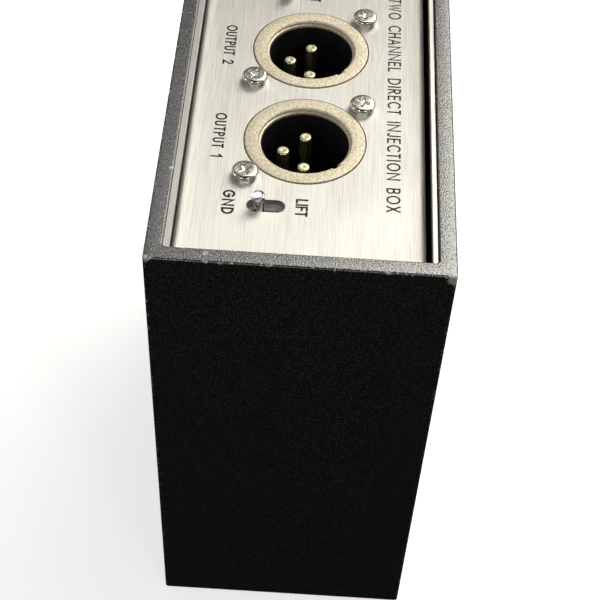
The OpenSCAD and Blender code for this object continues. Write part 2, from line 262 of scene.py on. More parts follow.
def near_point(shader, point, radius_mm):
    """1 at a point, falling to 0 at about radius_mm, with a ragged edge."""
    raggedness = 0.4 * MM
    inputs = {0: shader.coords, 1: tuple(point)}
    far = shader.add("ShaderNodeVectorMath", inputs, operation="DISTANCE").outputs["Value"]
    shift = shader.remap(shader.noise(0.5, 3), 0.3, 0.7, -raggedness, raggedness)
    return shader.remap(shader.math("ADD", far, shift), radius_mm * MM, radius_mm * 0.7 * MM)


def paint_material():
    """Black powder coat: shiny crests that mirror the light, dull pits, pale dots that are painted glints,
    and worn edges.
    """
    s = Shader("case_paint", (0.008, 0.008, 0.0085), roughness=0.2, IOR=3.0)
    bare = (0.80, 0.79, 0.75)
    grain = s.noise(0.30, 2)
    coarse = s.noise(2.2, 2)
    pits = s.remap(s.noise(0.27, 2, distortion=0.4), 0.50, 0.64)
    painted_glint = s.remap(s.noise(0.24, 1), 0.60, 0.70)
    tone = s.mix(s.remap(coarse, 0.3, 0.7), (0.007, 0.007, 0.0075), (0.011, 0.0108, 0.0105))
    # painted glints: pale dots mixed into the base colour stand in for glints off the coat's grain
    tone = s.mix(s.math("MULTIPLY", painted_glint, 0.4), tone, (0.20, 0.20, 0.19))
    worn = s.math("MULTIPLY", edge_closeness(s), s.remap(s.noise(0.7, 4), 0.60, 0.66))
    for point, size in CHIPS:
        worn = s.math("MAXIMUM", worn, near_point(s, point, size))
    s.set("Base Color", s.mix(worn, tone, bare))
    s.set("Metallic", s.math("MULTIPLY", worn, 0.2))
    dull = s.math("MULTIPLY", s.math("MAXIMUM", pits, worn), 0.5)
    s.set("Roughness", s.math("ADD", s.remap(coarse, 0.25, 0.75, 0.16, 0.12), dull))
    texture = s.bump(grain, 0.058, 1.0)
    s.set("Normal", s.bump(s.math("SUBTRACT", 1.0, worn), 0.06, 0.6, texture))
    return s.material


def brushed_material():
    """Aluminium brushed along Y: it mirrors a broad band across X and a narrow one along Y."""
    s = Shader("brushed_panel", (0.80, 0.79, 0.75), metallic=1.0, roughness=0.43, Anisotropic=0.88)
    across = s.add("ShaderNodeTangent", direction_type="RADIAL", axis="Y")
    s.set("Tangent", across.outputs["Tangent"])
    fine = s.noise(0.13, 2, stretch=(1, 60, 1))
    broad = s.noise(0.55, 2, stretch=(1, 20, 1))
    cloud = s.noise(14, 1)
    tone = s.mix(s.remap(fine, 0.3, 0.7), (0.54, 0.53, 0.505), (0.80, 0.795, 0.76))
    tone = s.mix(s.remap(broad, 0.32, 0.66, 0.0, 0.55), tone, (0.79, 0.78, 0.735))
    s.set("Base Color", tone)
    rough = s.remap(fine, 0.25, 0.75, 0.38, 0.51)
    s.set("Roughness", s.math("ADD", rough, s.remap(cloud, 0.3, 0.7, -0.03, 0.03)))
    s.set("Normal", s.bump(s.math("ADD", fine, s.math("MULTIPLY", broad, 0.8)), 0.027, 0.9))
    return s.material


def cast_metal_material():
    """Satin-plated die casting with a sandy grain and a few darker pits."""
    s = Shader("socket_metal", (0.80, 0.75, 0.62), metallic=0.75, roughness=0.5)
    grain = s.noise(0.42, 3, distortion=0.6)
    pits = s.noise(0.30, 2)
    tone = s.mix(s.remap(grain, 0.36, 0.62), (0.69, 0.60, 0.44), (0.96, 0.89, 0.72))
    s.set("Base Color", s.mix(s.remap(pits, 0.62, 0.72, 0.0, 0.6), tone, (0.47, 0.40, 0.29)))
    s.set("Roughness", s.remap(grain, 0.3, 0.7, 0.62, 0.46))
    s.set("Normal", s.bump(grain, 0.06, 0.6))
    return s.material


def plated_material(name, color, roughness, scratch=0.25):
    """Bright or satin plate with fine random scratches and a slight change of tone."""
    s = Shader(name, color, metallic=1.0, roughness=roughness)
    dull = tuple(c * 0.82 for c in color)
    mark = s.noise(0.25, 4, stretch=(1, 1, 6))
    s.set("Base Color", s.mix(s.remap(s.noise(1.1, 3), 0.35, 0.7), color, dull))
    s.set("Roughness", s.remap(mark, 0.3, 0.7, roughness * 0.8, roughness * 1.35 + 0.02))
    s.set("Normal", s.bump(mark, 0.006, scratch))
    return s.material


def moulded_material(name, color, roughness, grain_mm=0.35, specular=0.4):
    """Moulded plastic or rubber: a fine grain and a faint cloud of tone."""
    s = Shader(name, color, roughness=roughness, Specular_IOR_Level=specular)
    grain = s.noise(grain_mm, 3)
    lighter = tuple(min(1.0, c * 1.5 + 0.004) for c in color)
    s.set("Base Color", s.mix(s.remap(s.noise(2.5, 2), 0.35, 0.7), color, lighter))
    s.set("Roughness", s.remap(grain, 0.3, 0.7, roughness - 0.08, roughness + 0.08))
    s.set("Normal", s.bump(grain, 0.03, 0.4))
    return s.material


def sheet_material():
    """Bare sheet outside and on its cut edges, black inside the channel.

    The black stops just above the panel. The right leg's outer face and the outer strip of its top edge are
    painted shadow: dark where the sleeve's right wall shades them.
    """
    s = Shader("sheet_metal", (0.72, 0.72, 0.70), metallic=1.0, roughness=0.38)
    sheet, slack, painted_shadow_width, above_panel = 0.9 * MM, 0.05 * MM, 0.16 * MM, 0.7 * MM
    low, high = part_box("chassis")
    off_middle = s.math("ABSOLUTE", s.math("SUBTRACT", s.axis("X"), panel_mid_x))
    inner_x = (high.x - low.x) / 2 - sheet
    black = s.math("LESS_THAN", off_middle, inner_x + slack)
    black = s.math("MULTIPLY", black, s.math("GREATER_THAN", s.axis("Z"), low.z + sheet - slack))
    black = s.math("MULTIPLY", black, s.math("LESS_THAN", s.axis("Z"), out_z + above_panel))
    # painted shadow: darkens the right leg's outer face and the outer strip of its top edge, where the
    # sleeve's wall shades it
    black = s.math("MAXIMUM", black, s.math("GREATER_THAN", s.axis("X"), high.x - painted_shadow_width))
    roll = s.noise(0.12, 2, stretch=(1, 60, 1))
    bare = s.mix(s.remap(roll, 0.3, 0.7), (0.70, 0.69, 0.66), (0.85, 0.84, 0.81))
    s.set("Base Color", s.mix(black, bare, (0.006, 0.006, 0.006)))
    s.set("Metallic", s.math("SUBTRACT", 1.0, black))
    s.set("Roughness", s.remap(roll, 0.3, 0.7, 0.44, 0.32))
    s.set("Normal", s.bump(roll, 0.010, 0.5))
    return s.material


def board_material():
    """Green solder mask over straight copper tracks on a 2.54 mm grid."""
    s = Shader("board", (0.03, 0.15, 0.06), roughness=0.35)
    grid = 2.54 * MM

    def tracks_across(letter, stretch):
        wave = s.math("SINE", s.math("MULTIPLY", s.axis(letter), 2 * math.pi / grid))
        there = s.math("GREATER_THAN", s.noise(3.0, 0, stretch=stretch), 0.53)
        return s.math("MULTIPLY", s.remap(wave, 0.35, 0.5), there)

    tracks = s.math("MAXIMUM", tracks_across("Y", (1, 0.6, 5)), tracks_across("Z", (1, 5, 0.6)))
    s.set("Base Color", s.mix(tracks, (0.018, 0.105, 0.042), (0.045, 0.20, 0.085)))
    s.set("Normal", s.bump(tracks, 0.03, 0.6))
    return s.material


def winding_material():
    """Enamelled copper wire, turn beside turn."""
    s = Shader("copper_wire", (0.62, 0.28, 0.12), metallic=0.8, roughness=0.35)
    turns = s.add("ShaderNodeTexWave", {"Vector": s.coords, "Scale": 3200.0, "Distortion": 0.4},
                  bands_direction="X").outputs["Fac"]
    s.set("Base Color", s.mix(turns, (0.40, 0.15, 0.05), (0.72, 0.34, 0.15)))
    s.set("Normal", s.bump(turns, 0.08, 0.8))
    return s.material


def core_material():
    """Stack of steel leaves."""
    s = Shader("core_steel", (0.20, 0.20, 0.21), metallic=0.9, roughness=0.5)
    leaves = s.add("ShaderNodeTexWave", {"Vector": s.coords, "Scale": 1500.0, "Distortion": 0.2},
                   bands_direction="Z").outputs["Fac"]
    s.set("Base Color", s.mix(leaves, (0.10, 0.10, 0.105), (0.26, 0.26, 0.27)))
    s.set("Normal", s.bump(leaves, 0.05, 0.7))
    return s.material


def ink_material():
    """Black screen print, thinner in places."""
    s = Shader("panel_ink", (0.012, 0.011, 0.012), roughness=0.45, Specular_IOR_Level=0.3)
    thin = s.noise(0.3, 3)
    s.set("Base Color", s.mix(s.remap(thin, 0.55, 0.8), (0.010, 0.009, 0.010), (0.05, 0.048, 0.046)))
    s.set("Roughness", s.remap(thin, 0.3, 0.7, 0.40, 0.55))
    return s.material


# Places where the paint is chipped to bare metal, and each chip's radius in mm
CHIPS = [
    (Vector((case_low.x + 0.7 * MM, case_low.y + 0.05 * MM, case_high.z - 0.25 * MM)), 0.75),
    (Vector((case_high.x - 0.5 * MM, case_low.y + 0.1 * MM, case_high.z - 0.9 * MM)), 1.35),
    (Vector((case_low.x + 2.9 * MM, case_low.y + 22 * MM, case_high.z - 0.2 * MM)), 0.5),
    (Vector((case_low.x + 10.5 * MM, case_low.y + 1.9 * MM, case_high.z)), 0.33),
]

MATERIALS = {
    "case_paint": paint_material(),
    "sheet_metal": sheet_material(),
    "brushed_panel": brushed_material(),
    "socket_metal": cast_metal_material(),
    "socket_plastic": moulded_material("socket_plastic", (0.006, 0.006, 0.007), 0.5, specular=0.25),
    "contact_gold": plated_material("contact_gold", (1.0, 0.95, 0.64), 0.26, scratch=0.1),
    "bright_nickel": plated_material("bright_nickel", (0.80, 0.775, 0.71), 0.19, scratch=0.15),
    "lever_chrome": plated_material("lever_chrome", (0.90, 0.89, 0.91), 0.04, scratch=0.05),
    "frame_metal": moulded_material("frame_metal", (0.80, 0.72, 0.68), 0.5),
    "switch_plastic": moulded_material("switch_plastic", (0.015, 0.014, 0.014), 0.5),
    "jack_plastic": moulded_material("jack_plastic", (0.015, 0.015, 0.017), 0.5),
    "tinned_terminal": plated_material("tinned_terminal", (0.72, 0.71, 0.68), 0.35),
    "can_metal": plated_material("can_metal", (0.55, 0.55, 0.56), 0.32),
    "core_steel": core_material(),
    "copper_wire": winding_material(),
    "board": board_material(),
    "resistor": moulded_material("resistor", (0.10, 0.25, 0.40), 0.25),
    "capacitor": moulded_material("capacitor", (0.50, 0.33, 0.05), 0.25),
    "wire_cover": moulded_material("wire_cover", (0.38, 0.02, 0.02), 0.4),
    "fastener": plated_material("fastener", (0.62, 0.61, 0.58), 0.30),
    "black_screw": plated_material("black_screw", (0.045, 0.045, 0.047), 0.38),
    "foot_rubber": moulded_material("foot_rubber", (0.012, 0.012, 0.012), 0.75, 0.25, 0.3),
    "panel_ink": ink_material(),
}


def dress_nodes():
    """Gives every CAD node the material of its slot."""
    for name, node in NODES.items():
        node.data.materials.clear()
        node.data.materials.append(MATERIALS[SLOT_OF_NODE[name]])


dress_nodes()

# ---------- sleeve ----------

SLEEVE_WALL = 3.0
SLEEVE_EDGE_R, SLEEVE_MOUTH_R = 0.42, 0.2  # rounding of the rims' outer and inner edges
SLEEVE_CORNER_R = (0.6, 1.0)  # radius of the upright corners, outside and inside


def sleeve_shape():
    """The tube's wall section swept round a rounded rectangle: one clean grid of quads."""
    height = (case_high.z - case_low.z) / MM
    section = rounded([
        (0, 0, SLEEVE_EDGE_R), (0, height, SLEEVE_EDGE_R),
        (SLEEVE_WALL, height, SLEEVE_MOUTH_R), (SLEEVE_WALL, 0, SLEEVE_MOUTH_R),
    ], steps=6)
    half_x = (case_high.x - case_low.x) / 2 / MM
    half_y = (case_high.y - case_low.y) / 2 / MM
    corner_steps = 8
    outside_r, inside_r = SLEEVE_CORNER_R
    verts, rings = [], []
    for inset, z in section:
        corner_r = outside_r + (inside_r - outside_r) * inset / SLEEVE_WALL
        ring = []
        for sign_x, sign_y, start in ((1, 1, 0), (-1, 1, 90), (-1, -1, 180), (1, -1, 270)):
            for k in range(corner_steps + 1):
                a = math.radians(start + 90 * k / corner_steps)
                x = sign_x * (half_x - inset - corner_r) + corner_r * math.cos(a)
                y = sign_y * (half_y - inset - corner_r) + corner_r * math.sin(a)
                ring.append(len(verts))
                verts.append(Vector((case_mid.x + x * MM, case_mid.y + y * MM, case_low.z + z * MM)))
        rings.append(ring)
    return verts, bands(rings)


def make_sleeve():
    add_piece("sleeve", *sleeve_shape(), "case_paint", replaces=["case_sleeve"], smooth_deg=50)


# ---------- output sockets ----------

# Profiles as (r, z) or (r, z, fillet) in mm, with z = 0 on the panel's outer face
SOCKET_RING = rounded([
    (11.3, -1.3), (11.3, 0.2, 0.15), (8.85, 0.2, 0.1), (8.6, -0.08, 0.08), (8.6, -0.5, 0.05),
    (8.3, -0.62, 0.05), (8.3, -1.05), (8.9, -1.05), (8.9, -1.3),
], steps=4)
SOCKET_FLANGE = [(12.6, -1.25), (12.6, -3.2), (8.7, -3.2), (8.7, -1.25)]
SOCKET_BARREL = [(10.2, -3.2), (10.2, -25), (8.7, -25), (8.7, -3.2)]
SOCKET_LINER = rounded([
    (8.65, -1.07), (8.15, -1.07, 0.05), (8.15, -14.2), (0, -14.2), (0, -26.5), (8.65, -26.5),
])
CONTACT_PIN = rounded([
    (0, -2.95), (0.2, -2.72, 0.06), (1.2, -2.7, 0.42), (1.2, -14.3), (0, -14.3),
], steps=9)
PIN_CIRCLE_R = 4.065
PIN_ANGLES = (-90, 90, 180)

KEYWAY_ANGLE, KEYWAY_HALF = 313.0, 5.2  # degrees
KEYWAY_R = 9.2


def keyway(r, degrees):
    """The mouth's radius, with the cut that a plug's latch slides in."""
    if r < KEYWAY_R and abs(degrees - KEYWAY_ANGLE) < KEYWAY_HALF:
        return KEYWAY_R + 0.05 * (r - 8.0)  # keeps the cut's edges apart in the mesh
    return r


def make_socket(channel):
    socket = mount(f"output_{channel}_socket")
    place = outward(socket.x, socket.y, out_z)
    shell = join_shapes([
        lathe(SOCKET_RING, place, 360, keyway),
        lathe(SOCKET_FLANGE, place, 96),
        lathe(SOCKET_BARREL, place, 96),
    ])
    add_piece(f"socket_shell_{channel}", *shell, "socket_metal", replaces=[f"output_{channel}_shell"])
    add_piece(f"socket_liner_{channel}", *lathe(SOCKET_LINER, place, 128), "socket_plastic",
              replaces=[f"output_{channel}_insert"])
    contacts = []
    for angle in PIN_ANGLES:
        spot = Matrix.Rotation(math.radians(angle), 4, "Z") @ Matrix.Translation((PIN_CIRCLE_R * MM, 0, 0))
        contacts.append(lathe(CONTACT_PIN, place @ spot, 48))
    add_piece(f"socket_contacts_{channel}", *join_shapes(contacts), "contact_gold",
              replaces=[f"output_{channel}_contacts"])


# ---------- screws ----------

CROSS_ARM, CROSS_HALF_WIDTH, CROSS_SLOPE, CROSS_DEPTH = 1.3, 0.33, 0.09, 0.6
HEAD_CROWN = 0.05  # rise of a head's face from its rim to its middle
SHANK_R = 1.45


def cross_depth(x, y):
    """How far the cross recess goes down at a place on the head, in mm."""
    past_arm = min(
        max(abs(x) - CROSS_ARM, abs(y) - CROSS_HALF_WIDTH),
        max(abs(y) - CROSS_ARM, abs(x) - CROSS_HALF_WIDTH),
    )
    blend = min(1.0, max(0.0, 0.5 - past_arm / (2 * CROSS_SLOPE)))
    return blend * CROSS_DEPTH * (1 - 0.35 * math.hypot(x, y) / CROSS_ARM)


def pan_head(place, radius, height, turn, segments=160, fillet=0.7):
    """Domed head with a cross recess. Its top is a fine polar grid, pressed down inside the cross."""
    flat = radius - fillet
    flat_steps, fillet_steps = round(flat / 0.05), 8
    profile = []
    for k in range(1, flat_steps + 1):
        r = flat * k / flat_steps
        profile.append((r, height - HEAD_CROWN * (r / flat) ** 2))
    for k in range(1, fillet_steps + 1):
        a = math.radians(90 - 90 * k / fillet_steps)
        profile.append((flat + fillet * math.cos(a), height - HEAD_CROWN - fillet + fillet * math.sin(a)))
    profile.append((radius, 0))
    to_cross = Matrix.Rotation(math.radians(-turn), 2)
    verts = [place @ Vector((0, 0, (height - CROSS_DEPTH) * MM))]
    rings = []
    for r, z in profile:
        ring = []
        for k in range(segments):
            a = 2 * math.pi * k / segments
            x, y = r * math.cos(a), r * math.sin(a)
            sunk = cross_depth(*(to_cross @ Vector((x, y))))
            ring.append(len(verts))
            verts.append(place @ Vector((x * MM, y * MM, (z - sunk) * MM)))
        rings.append(ring)
    faces = [(0, rings[0][k], rings[0][(k + 1) % segments]) for k in range(segments)]
    for a, b in zip(rings, rings[1:]):
        for k in range(segments):
            n = (k + 1) % segments
            faces.append((a[k], b[k], b[n], a[n]))
    faces.append(tuple(reversed(rings[-1])))
    return verts, faces


def shank(place, length):
    return lathe([(SHANK_R, 0), (0, 0), (0, -length), (SHANK_R, -length)], place, 32)


SOCKET_SCREW_AT = (10.5, 9.9)  # from a socket's centre, mirrored for the second screw
SOCKET_SCREW_TURNS = ((-1, 12.0), (1, 55.0))


def make_socket_screws():
    screws = []
    for channel in "12":
        socket = mount(f"output_{channel}_socket")
        for side, turn in SOCKET_SCREW_TURNS:
            x = socket.x + side * SOCKET_SCREW_AT[0] * MM
            y = socket.y + side * SOCKET_SCREW_AT[1] * MM
            place = outward(x, y, out_z)
            screws.append(pan_head(place, 2.5, 1.6, turn + 20 * int(channel)))
            screws.append(shank(place, 5.3))
    add_piece("socket_screws", *join_shapes(screws), "bright_nickel", replaces=["output_screws"],
              smooth_deg=40)


# ---------- levers ----------

# z = 0 on the panel's outer face; the groove at the tip makes the ring round its face
LEVER = rounded([
    (0, 2.8), (0.35, 2.798), (0.65, 2.793), (0.92, 2.786, 0.02), (0.95, 2.45), (1.13, 2.45),
    (1.15, 2.72, 0.01), (1.225, 2.62, 0.04), (1.225, 2.1, 0.3),
    (0.75, -1.5, 0.3), (0.75, -2.8),
    (1.0, -3.6), (1.0, -9.4, 0.2), (1.55, -10.4, 0.3), (1.55, -11.6, 0.3), (1.0, -12.6, 0.2),
    (0.5, -14.4), (0, -14.4),
], steps=6)
PIVOT_DROP = 11.0
LEAN = {"ground_lift_1": -6.0, "ground_lift_2": 6.0, "pad_1": -6.0, "pad_2": -6.0}  # degrees at rest


def make_lever(switch):
    pivot = joint(f"{switch}_throw")
    on_output = switch.startswith("ground")
    lean = LEAN[switch] if on_output else -LEAN[switch]
    upright = outward(0, 0, 0, "+Z" if on_output else "-Z") @ Matrix.Translation((0, 0, PIVOT_DROP * MM))
    place = Matrix.Translation(pivot) @ Matrix.Rotation(math.radians(lean), 4, "Y") @ upright
    add_piece(f"{switch}_stick", *lathe(LEVER, place, 64), "lever_chrome", body=f"{switch}_lever",
              replaces=[f"{switch}_lever"], smooth_deg=35)


# ---------- print ----------

def arc(cx, cy, rx, ry, start, end, steps=8):
    return [
        (cx + rx * math.cos(math.radians(a)), cy + ry * math.sin(math.radians(a)))
        for a in (start + (end - start) * k / steps for k in range(steps + 1))
    ]


# Letters as strokes, one unit high: (width, strokes)
GLYPHS = {
    " ": (0.35, []),
    "A": (0.62, [[(0, 0), (0.31, 1), (0.62, 0)], [(0.11, 0.34), (0.51, 0.34)]]),
    "B": (0.48, [[(0, 0.53), *arc(0.25, 0.765, 0.2, 0.235, -90, 90), (0, 1), (0, 0),
                  *arc(0.25, 0.265, 0.23, 0.265, -90, 90), (0, 0.53)]]),
    "C": (0.66, [arc(0.40, 0.5, 0.40, 0.5, 48, 312, 14)]),
    "D": (0.66, [[(0, 0), (0, 1), *arc(0.18, 0.5, 0.48, 0.5, 90, -90, 12), (0, 0)]]),
    "E": (0.42, [[(0.42, 1), (0, 1), (0, 0), (0.42, 0)], [(0, 0.52), (0.38, 0.52)]]),
    "F": (0.40, [[(0.40, 1), (0, 1), (0, 0)], [(0, 0.52), (0.36, 0.52)]]),
    "G": (0.80, [[*arc(0.41, 0.5, 0.41, 0.5, 48, 360, 16), (0.48, 0.5)]]),
    "H": (0.54, [[(0, 0), (0, 1)], [(0.54, 0), (0.54, 1)], [(0, 0.52), (0.54, 0.52)]]),
    "I": (0.0, [[(0, 0), (0, 1)]]),
    "J": (0.30, [[(0.30, 1), *arc(0.14, 0.16, 0.16, 0.16, 0, -150)]]),
    "L": (0.38, [[(0, 1), (0, 0), (0.38, 0)]]),
    "N": (0.70, [[(0, 0), (0, 1), (0.70, 0), (0.70, 1)]]),
    "O": (0.80, [[*arc(0.40, 0.5, 0.40, 0.5, 0, 360, 24)]]),
    "P": (0.42, [[(0, 0), (0, 1), *arc(0.17, 0.75, 0.25, 0.25, 90, -90), (0, 0.5)]]),
    "R": (0.50, [[(0, 0), (0, 1), *arc(0.2, 0.75, 0.26, 0.25, 90, -90), (0, 0.5)],
                 [(0.2, 0.5), (0.50, 0)]]),
    "T": (0.42, [[(0, 1), (0.42, 1)], [(0.21, 1), (0.21, 0)]]),
    "U": (0.52, [[(0, 1), (0, 0.26), *arc(0.26, 0.26, 0.26, 0.26, 180, 360), (0.52, 1)]]),
    "W": (0.86, [[(0, 1), (0.22, 0), (0.43, 0.95), (0.64, 0), (0.86, 1)]]),
    "X": (0.54, [[(0, 1), (0.54, 0)], [(0, 0), (0.54, 1)]]),
    "1": (0.22, [[(0, 0.80), (0.22, 1), (0.22, 0)]]),
    "2": (0.46, [[*arc(0.23, 0.74, 0.23, 0.26, 170, -30), (0, 0), (0.46, 0)]]),
}


def stroke_shape(points, width, thickness, place):
    """A flat strip of ink along a line of points in millimetres, with mitred corners and flat ends."""
    count = len(points)
    points = [Vector(p) for p in points]
    verts = []
    for i, point in enumerate(points):
        ahead = points[min(i + 1, count - 1)] - point
        behind = point - points[max(i - 1, 0)]
        ahead = (ahead if ahead.length > 1e-9 else behind).normalized()
        behind = (behind if behind.length > 1e-9 else ahead).normalized()
        along = ahead + behind
        along = along.normalized() if along.length > 0.2 else ahead
        side = Vector((-along.y, along.x))
        stretch = 1 / max(0.45, abs(along.dot(ahead)))
        reach = side * (width / 2 * stretch)
        tip = Vector((0, 0))
        if i == count - 1:
            tip = along * (width / 2)
        elif i == 0:
            tip = -along * (width / 2)
        for edge in (point + reach + tip, point - reach + tip):
            for z in (0.0, thickness):
                verts.append(place @ Vector((edge.x * MM, edge.y * MM, z * MM)))
    faces = []
    for i in range(count - 1):
        a, b = 4 * i, 4 * (i + 1)
        faces += [(a + 1, a + 3, b + 3, b + 1), (a, b, b + 2, a + 2),
                  (a, a + 1, b + 1, b), (a + 2, b + 2, b + 3, a + 3)]
    last = 4 * (count - 1)
    faces += [(0, 2, 3, 1), (last, last + 1, last + 3, last + 2)]
    return verts, faces


INK_THICKNESS = 0.012
LETTER_GAP = 0.26  # in letter heights


def text_shape(text, place, height, length, width):
    """Words centred on the placement's origin, reading along its X. length stretches the spacing."""
    widths = [GLYPHS[c][0] for c in text]
    gap = LETTER_GAP
    natural = sum(widths) + gap * (len(text) - 1)
    if length is not None:
        gap += (length / height - natural) / (len(text) - 1)
        natural = length / height
    pen = -natural / 2
    shapes = []
    for character, advance in zip(text, widths):
        for stroke in GLYPHS[character][1]:
            points = [((pen + x) * height, (y - 0.5) * height) for x, y in stroke]
            shapes.append(stroke_shape(points, width, INK_THICKNESS, place))
        pen += advance + gap
    return shapes


def print_place(x, y, face):
    """Placement of print on a panel: cap tops towards +X on both panels."""
    if face == "output":
        turn = Matrix(((0, 1, 0, 0), (-1, 0, 0, 0), (0, 0, 1, 0), (0, 0, 0, 1)))
        return Matrix.Translation((x, y, out_z)) @ turn
    turn = Matrix(((0, 1, 0, 0), (1, 0, 0, 0), (0, 0, -1, 0), (0, 0, 0, 1)))
    return Matrix.Translation((x, y, in_z)) @ turn


def label(text, x, y, face, height=1.85, length=None, width=0.37):
    return text_shape(text, print_place(x, y, face), height, length, width)


def make_print():
    """Title down the right of the output panel, and the words at every socket, jack and switch."""
    lettering = label("TWO CHANNEL DIRECT INJECTION BOX", panel_mid_x + 16.0 * MM, 0.3 * MM, "output",
                      height=2.25, length=60.6, width=0.35)
    for channel in "12":
        socket = mount(f"output_{channel}_socket")
        lettering += label(f"OUTPUT {channel}", panel_mid_x - 16.7 * MM, socket.y + 0.2 * MM, "output",
                           length=11.5)
        lift_y = joint(f"ground_lift_{channel}_throw").y
        lettering += label("GND", panel_mid_x - 13.6 * MM, lift_y + 0.4 * MM, "output",
                           length=5.6, width=0.42)
        lettering += label("LIFT", panel_mid_x - 0.4 * MM, lift_y, "output", length=3.9, width=0.40)
        for name in ("input", "thru"):
            jack = mount(f"{name}_{channel}_jack")
            lettering += label(f"{name.upper()} {channel}", jack.x + 11 * MM, jack.y, "input")
        pad = joint(f"pad_{channel}_throw")
        lettering += label("PAD", pad.x + 6.8 * MM, pad.y, "input")
        lettering += label("OFF", pad.x - 6.6 * MM, pad.y, "input")
    add_piece("panel_print", *join_shapes(lettering), "panel_ink", smooth_deg=20)


# ---------- jacks ----------

NUT_ACROSS, NUT_HEIGHT, NUT_HOLE_R, NUT_CHAMFER = 12.5, 2.0, 4.75, 0.5
NUT_TURN = 0.3  # radians
WASHER_THICKNESS = 0.6
JACK_WASHER = rounded([
    (7.0, 0.0), (7.0, WASHER_THICKNESS, 0.15), (4.8, WASHER_THICKNESS, 0.15), (4.8, 0.0),
])
THREAD_CREST_R, THREAD_ROOT_R, THREAD_PITCH = 4.72, 4.42, 0.8
THREAD_TOP, THREAD_BOTTOM = 3.1, -0.6
JACKS = ("input_1", "thru_1", "thru_2", "input_2")


def hex_nut(place):
    """Hexagon nut whose corners are turned off at the top face."""
    segments = 144
    flat = NUT_ACROSS / 2
    cap_r = flat - 0.25
    verts, rings = [], []
    rows = [
        ("hole", 0.0), ("hex", 0.0), ("hex", NUT_HEIGHT - NUT_CHAMFER), ("cap", NUT_HEIGHT),
        ("hole", NUT_HEIGHT),
    ]
    for kind, z in rows:
        ring = []
        for k in range(segments):
            a = 2 * math.pi * k / segments
            r = cap_r if kind == "cap" else NUT_HOLE_R
            if kind == "hex":
                r = flat / math.cos((a + math.pi / 6) % (math.pi / 3) - math.pi / 6)
            lift = z
            if kind == "hex" and z > 0:
                lift = NUT_HEIGHT - max(0.12, (r - cap_r) * 0.6)
            ring.append(len(verts))
            verts.append(place @ Vector((r * math.cos(a) * MM, r * math.sin(a) * MM, lift * MM)))
        rings.append(ring)
    return verts, bands(rings)


def threaded_bushing(place):
    """Bushing with its bore, a lead-in, thread rings and a collar under the panel."""
    thread = []
    z = THREAD_TOP
    while z > THREAD_BOTTOM:
        thread += [(THREAD_CREST_R, z), (THREAD_ROOT_R, z - THREAD_PITCH / 2)]
        z -= THREAD_PITCH
    profile = [(3.25, -5.0), (3.25, 3.0), (3.6, 3.4), (4.4, 3.4), *thread,
               (THREAD_CREST_R, -0.9), (6.0, -0.9), (6.0, -1.9), (4.3, -1.9), (4.3, -5.0)]
    return lathe(profile, place, 96)


def make_jack_fronts():
    nuts, washers = [], []
    for name in JACKS:
        jack = mount(f"{name}_jack")
        place = outward(jack.x, jack.y, in_z, "-Z")
        add_piece(f"{name}_threaded_bushing", *threaded_bushing(place), "bright_nickel",
                  replaces=[f"{name}_bushing"], smooth_deg=25)
        on_washer = Matrix.Translation((0, 0, WASHER_THICKNESS * MM)) @ Matrix.Rotation(NUT_TURN, 4, "Z")
        nuts.append(hex_nut(place @ on_washer))
        washers.append(lathe(JACK_WASHER, place, 96))
    add_piece("bushing_nuts", *join_shapes(nuts), "bright_nickel", replaces=["jack_nuts"], smooth_deg=25)
    add_piece("bushing_washers", *join_shapes(washers), "bright_nickel", replaces=["jack_washers"])


# ---------- feet ----------

FOOT_R, FOOT_FLOOR = 5.0, 0.5  # the screw's head sits on the floor of the foot's recess
RUBBER_FOOT = rounded([
    (FOOT_R, 0.0), (FOOT_R, 2.0, 0.5), (3.05, 2.0, 0.25), (3.05, FOOT_FLOOR, 0.1),
    (1.7, FOOT_FLOOR), (1.7, 0.0),
])
TURN_PER_METRE = 9000  # degrees; gives each screw its own turn


def make_feet():
    feet, heads = [], []
    low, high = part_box("rubber_feet")
    reach = FOOT_R * MM
    for y in (low.y + reach, high.y - reach):
        for z in (low.z + reach, high.z - reach):
            place = outward(case_low.x, y, z, "-X")
            feet.append(lathe(RUBBER_FOOT, place, 96))
            seat = place @ Matrix.Translation((0, 0, FOOT_FLOOR * MM))
            heads.append(pan_head(seat, 2.75, 1.3, y * TURN_PER_METRE, segments=96, fillet=0.5))
            heads.append(shank(seat, 7.5))
    add_piece("feet", *join_shapes(feet), "foot_rubber", replaces=["rubber_feet"])
    add_piece("foot_screw_heads", *join_shapes(heads), "black_screw", replaces=["foot_screws"],
              smooth_deg=40)


make_sleeve()
for channel in "12":
    make_socket(channel)
make_socket_screws()
for switch in LEAN:
    make_lever(switch)
make_print()
make_jack_fronts()
make_feet()

# ---------- camera ----------

SENSOR_WIDTH = 36.0
FOCAL_RATIO = 1398.0 / 600  # focal length over the picture's width
AZIMUTH, ELEVATION, ROLL = (math.radians(a) for a in (0.2, 49.94, 3.38))
CAMERA_OFFSET = (0.87, -155.74, 176.75)  # mm, from the middle of the upper near edge


def place_camera():
    data = bpy.data.cameras.new("camera")
    data.sensor_width = SENSOR_WIDTH
    data.lens = SENSOR_WIDTH * FOCAL_RATIO
    camera = bpy.data.objects.new("camera", data)
    bpy.context.scene.collection.objects.link(camera)
    back = Vector((math.sin(AZIMUTH) * math.cos(ELEVATION), -math.cos(AZIMUTH) * math.cos(ELEVATION),
                   math.sin(ELEVATION)))
    level = Vector((0, 0, 1)).cross(back).normalized()
    above = back.cross(level)
    right = level * math.cos(ROLL) + above * math.sin(ROLL)
    up = above * math.cos(ROLL) - level * math.sin(ROLL)
    near_edge = (case_mid.x, case_low.y, case_high.z)
    spot = [edge + offset * MM for edge, offset in zip(near_edge, CAMERA_OFFSET)]
    turn = Matrix((right, up, back)).transposed().to_4x4()
    camera.matrix_world = Matrix.Translation(spot) @ turn
    bpy.context.scene.camera = camera


place_camera()

# ---------- floor, light and background ----------

